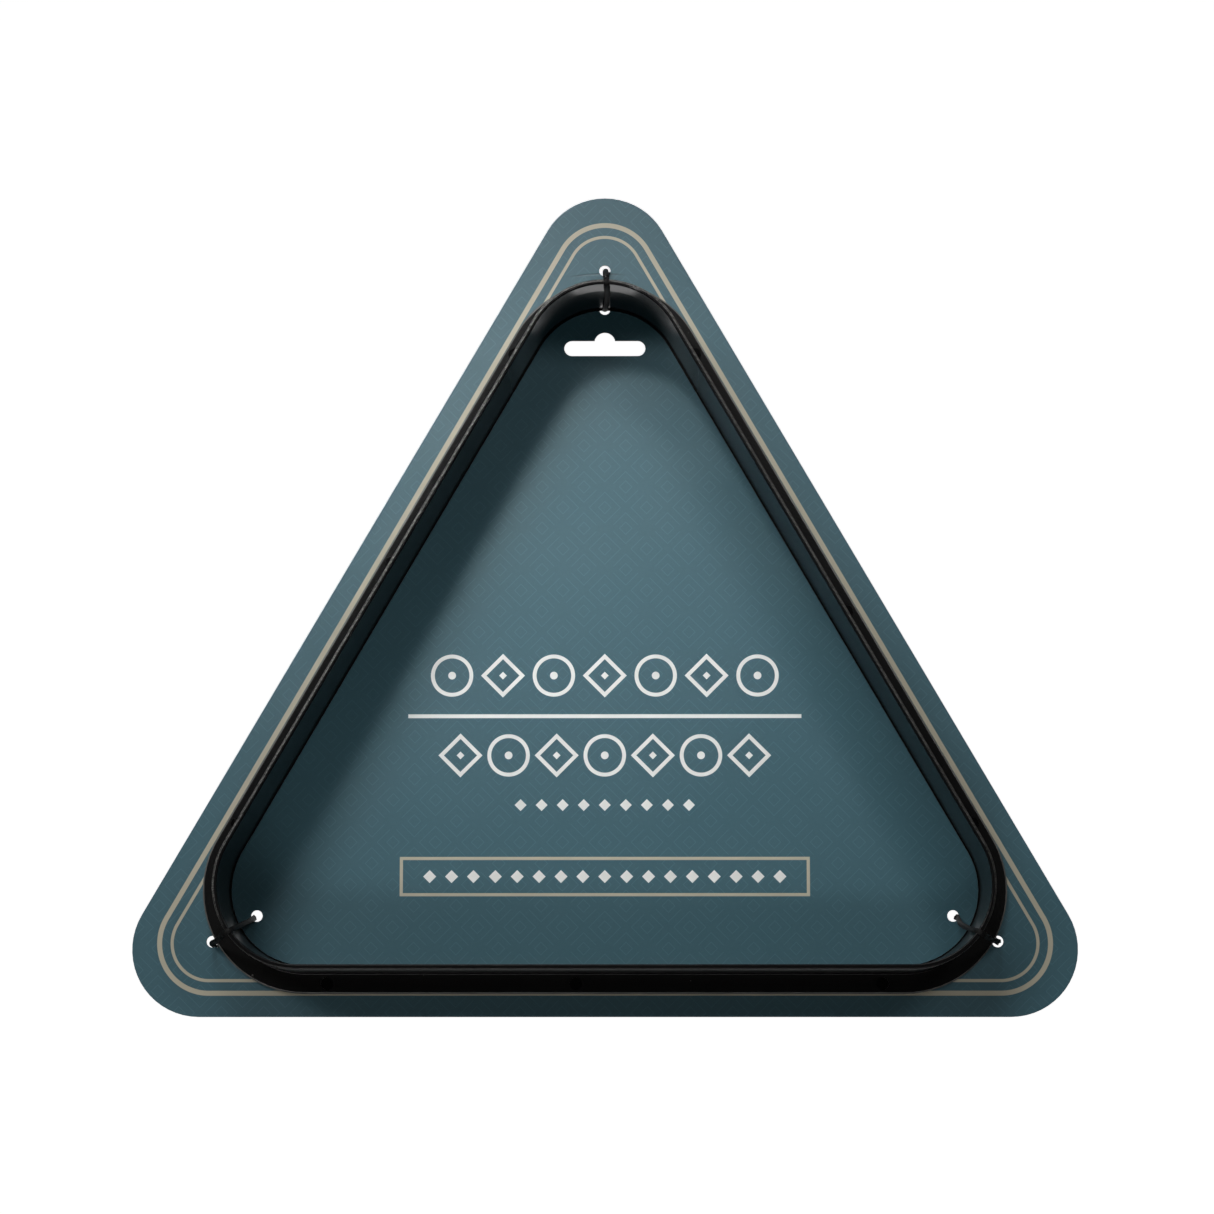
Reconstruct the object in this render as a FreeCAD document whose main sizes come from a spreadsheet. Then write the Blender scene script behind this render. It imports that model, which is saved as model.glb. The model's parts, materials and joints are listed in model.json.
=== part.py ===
"""Triangle ball rack tied to its printed hang card, a parametric FreeCAD document in millimetres.

The rack and card hang upright: +X to the right, +Z up and the front faces -Y. The origin is the
middle of the card's hang slot, on the card's back face. Each piece is drawn in a flat frame of
its own (X right, Y up the triangle, Z towards the viewer, card front at zero) and stood up by its
Placement. The two lower corners, the top corner and the sides repeat by rotation about the middle
of the triangle.
"""

import FreeCAD, Part
import math
import os

import Sketcher

# Driving dimensions, in millimetres and degrees.
SIZES = {
    "ball_diameter": 57.15,
    "balls_per_side": 5,
    "ball_play": 1.0,
    "rack_height": 44.0,
    "rim_thickness": 1.9,
    "wall_draft": 0.7,
    "flange_width": 7.8,
    "flange_thickness": 3.5,
    "flange_edge_radius": 0.7,
    "flange_root_radius": 0.6,
    "rim_edge_radius": 0.5,
    "base_edge_radius": 0.4,
    "base_lip_width": 0.6,
    "base_lip_height": 1.0,
    "ejector_mark_diameter": 4.8,
    "ejector_mark_depth": 0.25,
    "ejector_mark_reach": 106.0,
    "ejector_mark_middle": 11.0,
    "rack_drop": 1.1,
    "card_apothem": 115.6,
    "card_corner_radius": 26.0,
    "card_thickness": 0.8,
    "tie_hole_diameter": 4.4,
    "lower_inner_hole": 154.2,
    "lower_outer_hole": 173.8,
    "top_inner_hole": 160.5,
    "top_outer_hole": 176.0,
    "slot_width": 31.8,
    "slot_opening": 6.1,
    "slot_rise": 144.85,
    "slot_dome_diameter": 8.2,
    "slot_dome_rise": 2.25,
    "strip_width": 2.5,
    "strip_thickness": 0.8,
    "strip_gap": 0.15,
    "strip_bend_radius": 0.9,
    "strip_end_height": 1.0,
    "lap_height": 9.0,
    "lap_gap": 0.05,
    "core_wire_diameter": 0.45,
}

CORNER_ANGLES = {"top": 90.0, "left": 210.0, "right": 330.0}
CORNERS = len(CORNER_ANGLES)

# Formulas that several features share.
INNER_RADIUS = "(Sizes.ball_diameter / 2 + Sizes.ball_play)"
INNER_APOTHEM = (
    "((Sizes.balls_per_side - 1) * Sizes.ball_diameter / (2 * sqrt(3)) + "
    + INNER_RADIUS + ")"
)
WALL_BASE = "(Sizes.rim_thickness + Sizes.rack_height * tan(Sizes.wall_draft * 1 deg))"

START, END, CENTRE = 1, 2, 3
ORIGIN_POINT = (-1, 1)
VERTICAL_AXIS = -2
EDGE_TOLERANCE = 0.01


def make_sheet(doc):
    """The spreadsheet of driving dimensions, one alias per row."""
    sheet = doc.addObject("Spreadsheet::Sheet", "Sizes")
    for row, (alias, value) in enumerate(SIZES.items(), start=1):
        sheet.set(f"A{row}", alias)
        sheet.set(f"B{row}", str(value))
        sheet.setAlias(f"B{row}", alias)
    return sheet


def make_body(doc, label):
    body = doc.addObject("PartDesign::Body", label)
    body.Label = label
    return body


def origin_feature(body, role):
    for feature in body.Origin.OriginFeatures:
        if feature.Role == role:
            return feature
    raise ValueError("no origin feature " + role)


def make_sketch(body, name, lift=None):
    """A sketch on the body's XY plane, raised by the expression lift."""
    sketch = body.newObject("Sketcher::SketchObject", name)
    sketch.AttachmentSupport = (origin_feature(body, "XY_Plane"), [""])
    sketch.MapMode = "FlatFace"
    if lift:
        sketch.setExpression("AttachmentOffset.Base.z", lift)
    return sketch


def constrain(sketch, kind, *values):
    return sketch.addConstraint(Sketcher.Constraint(kind, *values))


def bind(sketch, name, expression, kind, *values):
    """A named dimension whose value follows an expression of the sheet."""
    index = constrain(sketch, kind, *values)
    sketch.renameConstraint(index, name)
    sketch.setExpression("Constraints." + name, expression)


def polar(distance, degrees):
    angle = math.radians(degrees)
    return FreeCAD.Vector(distance * math.cos(angle), distance * math.sin(angle), 0)


def draw_rounded_triangle(sketch, apothem, radius):
    """An equilateral triangle with round corners, its middle at the sketch's origin.

    apothem and radius are expressions: from the middle to a side, and of the corner arcs.
    """
    rough_apothem, rough_radius = 100.0, 30.0
    reach = 2 * (rough_apothem - rough_radius)
    arcs, lines = [], []
    angles = list(CORNER_ANGLES.values())
    z_axis = FreeCAD.Vector(0, 0, 1)
    for degrees in angles:
        circle = Part.Circle(polar(reach, degrees), z_axis, rough_radius)
        first = math.radians(degrees - 60)
        last = math.radians(degrees + 60)
        arcs.append(sketch.addGeometry(Part.ArcOfCircle(circle, first, last), False))
    for degrees, next_degrees in zip(angles, angles[1:] + angles[:1]):
        offset = polar(rough_radius, degrees + 60)
        line = Part.LineSegment(
            polar(reach, degrees) + offset, polar(reach, next_degrees) + offset)
        lines.append(sketch.addGeometry(line, False))
    for index in range(CORNERS):
        constrain(sketch, "Tangent", arcs[index], END, lines[index], START)
        next_arc = arcs[(index + 1) % CORNERS]
        constrain(sketch, "Tangent", lines[index], END, next_arc, START)
    for index in range(1, CORNERS):
        constrain(sketch, "Equal", arcs[0], arcs[index])
        constrain(sketch, "Equal", lines[0], lines[index])
    top_arc, base_line = arcs[0], lines[1]
    constrain(sketch, "Horizontal", base_line)
    constrain(sketch, "PointOnObject", top_arc, CENTRE, VERTICAL_AXIS)
    bind(sketch, "corner_radius", radius, "Radius", top_arc, rough_radius)
    bind(sketch, "apothem", apothem,
         "DistanceY", base_line, START, *ORIGIN_POINT, rough_apothem)
    bind(sketch, "crown", f"2 * (({apothem}) - ({radius}))",
         "DistanceY", *ORIGIN_POINT, top_arc, CENTRE, reach)


def draw_circle(sketch, name, diameter, point, position=("0", "0")):
    """A circle at point, its diameter and its x and y bound to expressions of the sheet."""
    circle = Part.Circle(point, FreeCAD.Vector(0, 0, 1), 2.0)
    index = sketch.addGeometry(circle, False)
    bind(sketch, name + "_diameter", diameter, "Diameter", index, 4.0)
    for axis, value, expression in zip("XY", (point.x, point.y), position):
        label = name + "_" + axis.lower()
        if value == 0:
            constrain(sketch, "PointOnObject", index, CENTRE, VERTICAL_AXIS)
        else:
            ends = (*ORIGIN_POINT, index, CENTRE)
            bind(sketch, label, expression, "Distance" + axis, *ends, value)


def add_pad(body, name, sketch, length, downwards=False):
    pad = body.newObject("PartDesign::Pad", name)
    pad.Profile = sketch
    pad.setExpression("Length", length)
    pad.Reversed = downwards
    return pad


def add_pocket(body, name, sketch, length=None, upwards=False):
    """A pocket of the depth length, or through everything without one."""
    pocket = body.newObject("PartDesign::Pocket", name)
    pocket.Profile = sketch
    if length:
        pocket.setExpression("Length", length)
    else:
        pocket.Type = "ThroughAll"
    pocket.Reversed = upwards
    return pocket


def edges_at_height(shape, height, apothems):
    """Names of the level edges at a height that are part of the named rounded triangles."""
    names = []
    for number, edge in enumerate(shape.Edges, start=1):
        box = edge.BoundBox
        level = box.ZLength < EDGE_TOLERANCE and abs(box.ZMin - height) < EDGE_TOLERANCE
        middle = edge.valueAt((edge.FirstParameter + edge.LastParameter) / 2)
        if level and any(on_triangle(middle, apothem) for apothem in apothems):
            names.append(f"Edge{number}")
    return names


def on_triangle(point, outline):
    """Whether a point lies on a rounded triangle given as its apothem and corner radius."""
    apothem, radius = outline
    side = max(point.dot(polar(1, degrees + 180)) for degrees in CORNER_ANGLES.values())
    corner = min(
        (FreeCAD.Vector(point.x, point.y, 0) - polar(2 * (apothem - radius), degrees)).Length
        for degrees in CORNER_ANGLES.values())
    return abs(side - apothem) < EDGE_TOLERANCE or abs(corner - radius) < EDGE_TOLERANCE


def add_fillet(body, name, base, edge_names, radius):
    fillet = body.newObject("PartDesign::Fillet", name)
    fillet.Base = (base, edge_names)
    fillet.setExpression("Radius", radius)
    return fillet


def stand_up(body, degrees=0.0, drop="0"):
    """Stand a flat piece upright behind the origin, turned about the triangle's middle."""
    upright = FreeCAD.Rotation(FreeCAD.Vector(1, 0, 0), 90)
    turn = FreeCAD.Rotation(FreeCAD.Vector(0, 0, 1), degrees)
    body.Placement = FreeCAD.Placement(FreeCAD.Vector(0, 0, 0), upright * turn)
    body.setExpression("Placement.Base.y", "-Sizes.card_thickness")
    body.setExpression("Placement.Base.z", f"-Sizes.slot_rise - {drop}")


def build_rack_frame(doc, sheet):
    """The moulded rack: a drafted wall round the balls on a flange, with a small lip inside."""
    body = make_body(doc, "rack_frame")

    flange_sketch = make_sketch(body, "flange_outline")
    reach = f"{WALL_BASE} + Sizes.flange_width"
    draw_rounded_triangle(flange_sketch, f"{INNER_APOTHEM} + {reach}",
                          f"{INNER_RADIUS} + {reach}")
    add_pad(body, "flange", flange_sketch, "Sizes.flange_thickness")

    wall_sketch = make_sketch(body, "wall_outline")
    draw_rounded_triangle(wall_sketch, f"{INNER_APOTHEM} + {WALL_BASE}",
                          f"{INNER_RADIUS} + {WALL_BASE}")
    wall = add_pad(body, "wall", wall_sketch, "Sizes.rack_height")
    wall.setExpression("TaperAngle", "-Sizes.wall_draft")

    opening_sketch = make_sketch(body, "base_opening_outline")
    draw_rounded_triangle(opening_sketch, f"{INNER_APOTHEM} - Sizes.base_lip_width",
                          f"{INNER_RADIUS} - Sizes.base_lip_width")
    add_pocket(body, "base_opening", opening_sketch, upwards=True)

    space_sketch = make_sketch(body, "ball_space_outline", "Sizes.base_lip_height")
    draw_rounded_triangle(space_sketch, INNER_APOTHEM, INNER_RADIUS)
    ball_space = add_pocket(body, "ball_space", space_sketch, upwards=True)
    doc.recompute()

    inner_radius = sheet.ball_diameter / 2 + sheet.ball_play
    inner_apothem = (
        (sheet.balls_per_side - 1) * sheet.ball_diameter / (2 * math.sqrt(3)) + inner_radius)
    slope = math.tan(math.radians(sheet.wall_draft))
    wall_base = sheet.rim_thickness + sheet.rack_height * slope

    def outline(outset):
        return inner_apothem + outset, inner_radius + outset

    rim_edges = edges_at_height(ball_space.Shape, sheet.rack_height,
                                [outline(0), outline(sheet.rim_thickness)])
    rim = add_fillet(body, "rim_round", ball_space, rim_edges, "Sizes.rim_edge_radius")
    doc.recompute()

    flange_outset = wall_base + sheet.flange_width
    flange_edges = edges_at_height(rim.Shape, sheet.flange_thickness, [outline(flange_outset)])
    flange_edge = add_fillet(
        body, "flange_round", rim, flange_edges, "Sizes.flange_edge_radius")
    doc.recompute()

    root_outset = wall_base - sheet.flange_thickness * slope
    root_edges = edges_at_height(
        flange_edge.Shape, sheet.flange_thickness, [outline(root_outset)])
    root = add_fillet(body, "flange_root", flange_edge, root_edges, "Sizes.flange_root_radius")
    doc.recompute()

    base_edges = edges_at_height(root.Shape, 0.0, [outline(flange_outset)])
    add_fillet(body, "base_round", root, base_edges, "Sizes.base_edge_radius")
    doc.recompute()

    mark_sketch = make_sketch(body, "ejector_mark_outline", "Sizes.flange_thickness")
    middle = f"({INNER_APOTHEM} + {WALL_BASE} + Sizes.flange_width / 2)"
    mark_y = -(inner_apothem + wall_base + sheet.flange_width / 2)
    marks = {
        "first": (-sheet.ejector_mark_reach, "-Sizes.ejector_mark_reach"),
        "second": (-sheet.ejector_mark_middle, "-Sizes.ejector_mark_middle"),
        "third": (sheet.ejector_mark_reach, "Sizes.ejector_mark_reach"),
    }
    for name, (mark_x, expression) in marks.items():
        draw_circle(mark_sketch, name, "Sizes.ejector_mark_diameter",
                    FreeCAD.Vector(mark_x, mark_y, 0), (expression, "-" + middle))
    mark = add_pocket(body, "ejector_marks", mark_sketch, "Sizes.ejector_mark_depth")
    doc.recompute()
    pattern = body.newObject("PartDesign::PolarPattern", "ejector_marks_each_side")
    pattern.Originals = [mark]
    pattern.Axis = (origin_feature(body, "Z_Axis"), [""])
    pattern.Angle = 360
    pattern.Occurrences = CORNERS
    body.Tip = pattern
    stand_up(body, drop="Sizes.rack_drop")
    return body


def draw_slot(sketch):
    """The long part of the hang slot: two level lines closed by half-round ends."""
    half_length, radius, height = 13.0, 3.0, 145.0
    z_axis = FreeCAD.Vector(0, 0, 1)
    right = Part.Circle(FreeCAD.Vector(half_length, height, 0), z_axis, radius)
    left = Part.Circle(FreeCAD.Vector(-half_length, height, 0), z_axis, radius)
    quarter = math.pi / 2
    right_end = sketch.addGeometry(Part.ArcOfCircle(right, -quarter, quarter), False)
    left_end = sketch.addGeometry(Part.ArcOfCircle(left, quarter, 3 * quarter), False)
    upper = sketch.addGeometry(Part.LineSegment(
        FreeCAD.Vector(half_length, height + radius, 0),
        FreeCAD.Vector(-half_length, height + radius, 0)), False)
    lower = sketch.addGeometry(Part.LineSegment(
        FreeCAD.Vector(-half_length, height - radius, 0),
        FreeCAD.Vector(half_length, height - radius, 0)), False)
    constrain(sketch, "Tangent", right_end, END, upper, START)
    constrain(sketch, "Tangent", upper, END, left_end, START)
    constrain(sketch, "Tangent", left_end, END, lower, START)
    constrain(sketch, "Tangent", lower, END, right_end, START)
    constrain(sketch, "Horizontal", lower)
    constrain(sketch, "Symmetric", left_end, CENTRE, right_end, CENTRE, VERTICAL_AXIS)
    bind(sketch, "opening", "Sizes.slot_opening", "DistanceY", lower, END, upper, START,
         2 * radius)
    bind(sketch, "run", "Sizes.slot_width - Sizes.slot_opening",
         "DistanceX", left_end, CENTRE, right_end, CENTRE, 2 * half_length)
    bind(sketch, "rise", "Sizes.slot_rise", "DistanceY", *ORIGIN_POINT, right_end, CENTRE,
         height)


def build_backing_card(doc, sheet):
    """The die-cut hang card: a rounded triangle with a hang slot and six tie holes."""
    body = make_body(doc, "backing_card")
    outline = make_sketch(body, "card_outline")
    draw_rounded_triangle(outline, "Sizes.card_apothem", "Sizes.card_corner_radius")
    add_pad(body, "card_sheet", outline, "Sizes.card_thickness", downwards=True)

    slot_sketch = make_sketch(body, "hang_slot_outline")
    draw_slot(slot_sketch)
    add_pocket(body, "hang_slot", slot_sketch)

    round_sketch = make_sketch(body, "dome_and_tie_hole_outline")
    dome_y = sheet.slot_rise + sheet.slot_dome_rise
    draw_circle(round_sketch, "dome", "Sizes.slot_dome_diameter",
                FreeCAD.Vector(0, dome_y, 0), ("0", "Sizes.slot_rise + Sizes.slot_dome_rise"))
    for corner, degrees in CORNER_ANGLES.items():
        level = "top" if corner == "top" else "lower"
        for side in ("inner", "outer"):
            alias = f"{level}_{side}_hole"
            point = polar(getattr(sheet, alias), degrees)
            if corner == "top":
                point.x = 0
            place = (f"Sizes.{alias} * cos({degrees} deg)", f"Sizes.{alias} * sin({degrees} deg)")
            draw_circle(round_sketch, f"{corner}_{side}", "Sizes.tie_hole_diameter",
                        point, place)
    add_pocket(body, "dome_and_tie_holes", round_sketch)
    stand_up(body)
    return body


def bent_path(points, radius):
    """Straight runs through the points joined by tangent arcs of one radius."""
    edges = []
    start = points[0]
    for before, corner, after in zip(points, points[1:], points[2:]):
        back = (before - corner).normalize()
        ahead = (after - corner).normalize()
        half_angle = back.getAngle(ahead) / 2
        reach = radius / math.tan(half_angle)
        bisector = (back + ahead).normalize()
        middle = corner + bisector * (radius / math.sin(half_angle) - radius)
        arc_start = corner + back * reach
        arc_end = corner + ahead * reach
        edges.append(Part.LineSegment(start, arc_start).toShape())
        edges.append(Part.Arc(arc_start, middle, arc_end).toShape())
        start = arc_end
    edges.append(Part.LineSegment(start, points[-1]).toShape())
    return Part.Wire(edges)


def tie_path(sheet, inner_run, outer_hole, rack_shift):
    """The route of a tie in its corner's plane: x away from the middle, z to the viewer.

    It starts at the free end in front of the outer hole, passes behind the card to the inner
    hole, climbs the wall's inside, crosses the rim and comes down to lie on its own free end.
    """
    inner_radius = sheet.ball_diameter / 2 + sheet.ball_play
    corner_reach = (
        (sheet.balls_per_side - 1) * sheet.ball_diameter / math.sqrt(3) + inner_radius)
    stand_off = sheet.strip_gap + sheet.strip_thickness / 2
    inner_face = corner_reach + rack_shift
    rim_height = sheet.rack_height + stand_off
    back_height = -sheet.card_thickness - stand_off

    rim_outer = FreeCAD.Vector(inner_face + sheet.rim_thickness + stand_off, 0, rim_height)
    rim_inner = FreeCAD.Vector(inner_face - stand_off, 0, rim_height)
    back_inner = FreeCAD.Vector(inner_run, 0, back_height)
    fixed_end = FreeCAD.Vector(
        outer_hole - sheet.strip_thickness, 0, sheet.strip_end_height)

    descent = (fixed_end - rim_outer).normalize()
    outward = FreeCAD.Vector(-descent.z, 0, descent.x)
    lap = outward * (sheet.strip_thickness + sheet.lap_gap)
    lap_point = fixed_end + lap
    free_end = lap_point + descent * ((sheet.lap_height - lap_point.z) / descent.z)
    back_outer = lap_point + descent * ((back_height - lap_point.z) / descent.z)
    points = [free_end, back_outer, back_inner, rim_inner, rim_outer, fixed_end]
    return bent_path(points, sheet.strip_bend_radius), descent, outward


def strip_section(sheet, centre, along, outward):
    """A flat strip's section with half-round edges, across the direction along."""
    half_run = (sheet.strip_width - sheet.strip_thickness) / 2
    half_thickness = outward * (sheet.strip_thickness / 2)
    sideways = along.cross(outward).normalize()
    left = centre - sideways * half_run
    right = centre + sideways * half_run
    bulge = sideways * (sheet.strip_thickness / 2)
    edges = [
        Part.LineSegment(left + half_thickness, right + half_thickness).toShape(),
        Part.Arc(right + half_thickness, right + bulge, right - half_thickness).toShape(),
        Part.LineSegment(right - half_thickness, left - half_thickness).toShape(),
        Part.Arc(left - half_thickness, left - bulge, left + half_thickness).toShape(),
    ]
    return Part.Wire(edges)


def sweep_solid(path, section):
    return path.makePipeShell([section], True, False)


def build_tie(doc, sheet, corner, inner_run, outer_hole, rack_shift):
    """A twist tie: a flat plastic strip and the round steel wire inside it."""
    path, descent, outward = tie_path(sheet, inner_run, outer_hole, rack_shift)
    start = path.Edges[0].Vertexes[0].Point
    wire_radius = sheet.core_wire_diameter / 2
    circle = Part.Circle(start, descent, wire_radius)
    core = sweep_solid(path, Part.Wire([circle.toShape()]))
    strip = sweep_solid(path, strip_section(sheet, start, descent, outward))
    shapes = {f"{corner}_tie": strip.cut(core), f"{corner}_tie_wire": core}
    pieces = []
    for label, shape in shapes.items():
        piece = doc.addObject("Part::Feature", label)
        piece.Label = label
        piece.Shape = shape
        stand_up(piece, CORNER_ANGLES[corner])
        pieces.append(piece)
    wire_volume = math.pi * wire_radius ** 2 * path.Length
    print(f"{corner} tie: length {path.Length:.1f} mm, core volume {core.Volume:.2f} mm3,"
          f" section times length {wire_volume:.2f} mm3")
    return pieces


def build_ties(doc, sheet):
    """One tie at each corner, drawn to where the rack hangs a little low on the card."""
    top_run = sheet.top_inner_hole - sheet.strip_thickness
    pieces = build_tie(doc, sheet, "top", top_run, sheet.top_outer_hole, -sheet.rack_drop)
    for corner in ("left", "right"):
        pieces += build_tie(doc, sheet, corner, sheet.lower_inner_hole,
                            sheet.lower_outer_hole, sheet.rack_drop / 2)
    return pieces


def check(doc, pieces):
    """Stop if anything in the document failed or a piece has no sound single solid."""
    for item in doc.Objects:
        if "Invalid" in item.State or "Error" in item.State:
            raise RuntimeError(f"{item.Name} is {item.State}")
    for piece in pieces:
        shape = piece.Shape
        if shape.isNull() or not shape.isValid() or len(shape.Solids) != 1:
            raise RuntimeError(piece.Label + " has no sound solid")
        print(f"{piece.Label}: {shape.Volume:.1f} mm3")


def check_cuts(body):
    """Stop if a pocket or pattern of a body took nothing away."""
    before = None
    for feature in body.Group:
        if feature.TypeId.startswith("Sketcher"):
            continue
        volume = feature.Shape.Volume
        cuts = feature.TypeId in ("PartDesign::Pocket", "PartDesign::PolarPattern")
        if cuts and before is not None and volume >= before:
            raise RuntimeError(feature.Name + " cut nothing")
        before = volume


def main():
    doc = FreeCAD.newDocument("triangle_rack")
    sheet = make_sheet(doc)
    doc.recompute()
    rack = build_rack_frame(doc, sheet)
    card = build_backing_card(doc, sheet)
    ties = build_ties(doc, sheet)
    doc.recompute()

    pieces = [rack, card] + ties
    check(doc, pieces)
    check_cuts(rack)
    check_cuts(card)

    os.makedirs("parts", exist_ok=True)
    for piece in pieces:
        piece.Shape.exportStep(f"parts/{piece.Label}.step")


main()
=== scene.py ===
"""Looks of the triangle ball rack on its hang card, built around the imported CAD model.

Everything is in metres in the CAD's own frame: +X right, +Z up, the printed front faces -Y, and the
origin is the middle of the hang slot on the card's back. The rack and the card keep their CAD
shapes and get procedural finishes. The twist ties are modelled here as strips wound together.
"""

import json
import math
from types import SimpleNamespace

import bpy
import numpy as np
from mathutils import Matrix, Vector


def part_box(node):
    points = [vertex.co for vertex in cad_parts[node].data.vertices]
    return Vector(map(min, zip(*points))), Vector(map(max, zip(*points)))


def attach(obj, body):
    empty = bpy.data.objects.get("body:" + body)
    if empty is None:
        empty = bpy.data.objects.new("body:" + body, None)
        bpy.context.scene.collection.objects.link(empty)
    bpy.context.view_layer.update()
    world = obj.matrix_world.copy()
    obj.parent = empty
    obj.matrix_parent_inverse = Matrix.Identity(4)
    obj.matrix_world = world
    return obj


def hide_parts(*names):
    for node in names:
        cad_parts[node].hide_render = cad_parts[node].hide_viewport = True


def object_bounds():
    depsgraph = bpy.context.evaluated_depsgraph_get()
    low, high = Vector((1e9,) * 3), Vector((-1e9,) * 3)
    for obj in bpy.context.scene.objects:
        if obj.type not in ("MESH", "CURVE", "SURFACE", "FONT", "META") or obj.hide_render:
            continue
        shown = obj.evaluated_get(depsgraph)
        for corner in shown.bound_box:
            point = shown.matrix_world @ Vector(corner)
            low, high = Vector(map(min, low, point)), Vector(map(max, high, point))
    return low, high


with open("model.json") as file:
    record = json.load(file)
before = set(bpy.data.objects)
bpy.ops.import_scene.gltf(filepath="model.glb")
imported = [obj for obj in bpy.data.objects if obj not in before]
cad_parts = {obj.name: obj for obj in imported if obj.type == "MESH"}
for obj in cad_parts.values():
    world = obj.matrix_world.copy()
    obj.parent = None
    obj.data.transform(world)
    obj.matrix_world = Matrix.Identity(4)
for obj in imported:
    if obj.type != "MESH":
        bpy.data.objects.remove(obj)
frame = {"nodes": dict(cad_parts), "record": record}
cad_low, cad_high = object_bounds()

MM = 0.001
ROOT = "root"
ROOT3 = math.sqrt(3)


# ---------------------------------------------------------------- places read from the frame

def rounded_triangle(node):
    """Middle height, apothem and corner radius of an upright rounded triangle, from its box."""
    low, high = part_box(node)
    width, height = high.x - low.x, high.z - low.z
    lean = 2 * ROOT3
    apothem = (width - (lean - 2) * height) / (6 - 2 * lean)
    return low.z + apothem, apothem, 3 * apothem - height


CARD_MIDDLE = rounded_triangle("backing_card")[0]
RACK_MIDDLE, FLANGE_APOTHEM, FLANGE_CORNER = rounded_triangle("rack_frame")
CARD_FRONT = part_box("backing_card")[0].y
CARD_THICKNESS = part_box("backing_card")[1].y - CARD_FRONT
RIM_HEIGHT = CARD_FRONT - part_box("rack_frame")[0].y
RACK_DROP = CARD_MIDDLE - RACK_MIDDLE
MOUNTS = {mount["name"]: mount for mount in frame["record"]["mounts"]}

# The space for the balls is a rounded triangle too, inside the rack's wall.
BALL_APOTHEM = RACK_MIDDLE - MOUNTS["base_ball_wall"]["pos_m"][2]
BALL_CORNER = FLANGE_CORNER - (FLANGE_APOTHEM - BALL_APOTHEM)
BALL_CORNER_REACH = 2 * (BALL_APOTHEM - BALL_CORNER)
BALL_REACH = BALL_CORNER_REACH + BALL_CORNER
RIM_THICKNESS = 1.9 * MM
FLANGE_THICKNESS = 3.5 * MM
MARK_FLOOR = FLANGE_THICKNESS - 0.25 * MM


# ---------------------------------------------------------------- material building

def shade(colour, factor):
    """A colour made darker or lighter by a factor."""
    return tuple(factor * part for part in colour[:3]) + (1,)


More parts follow.
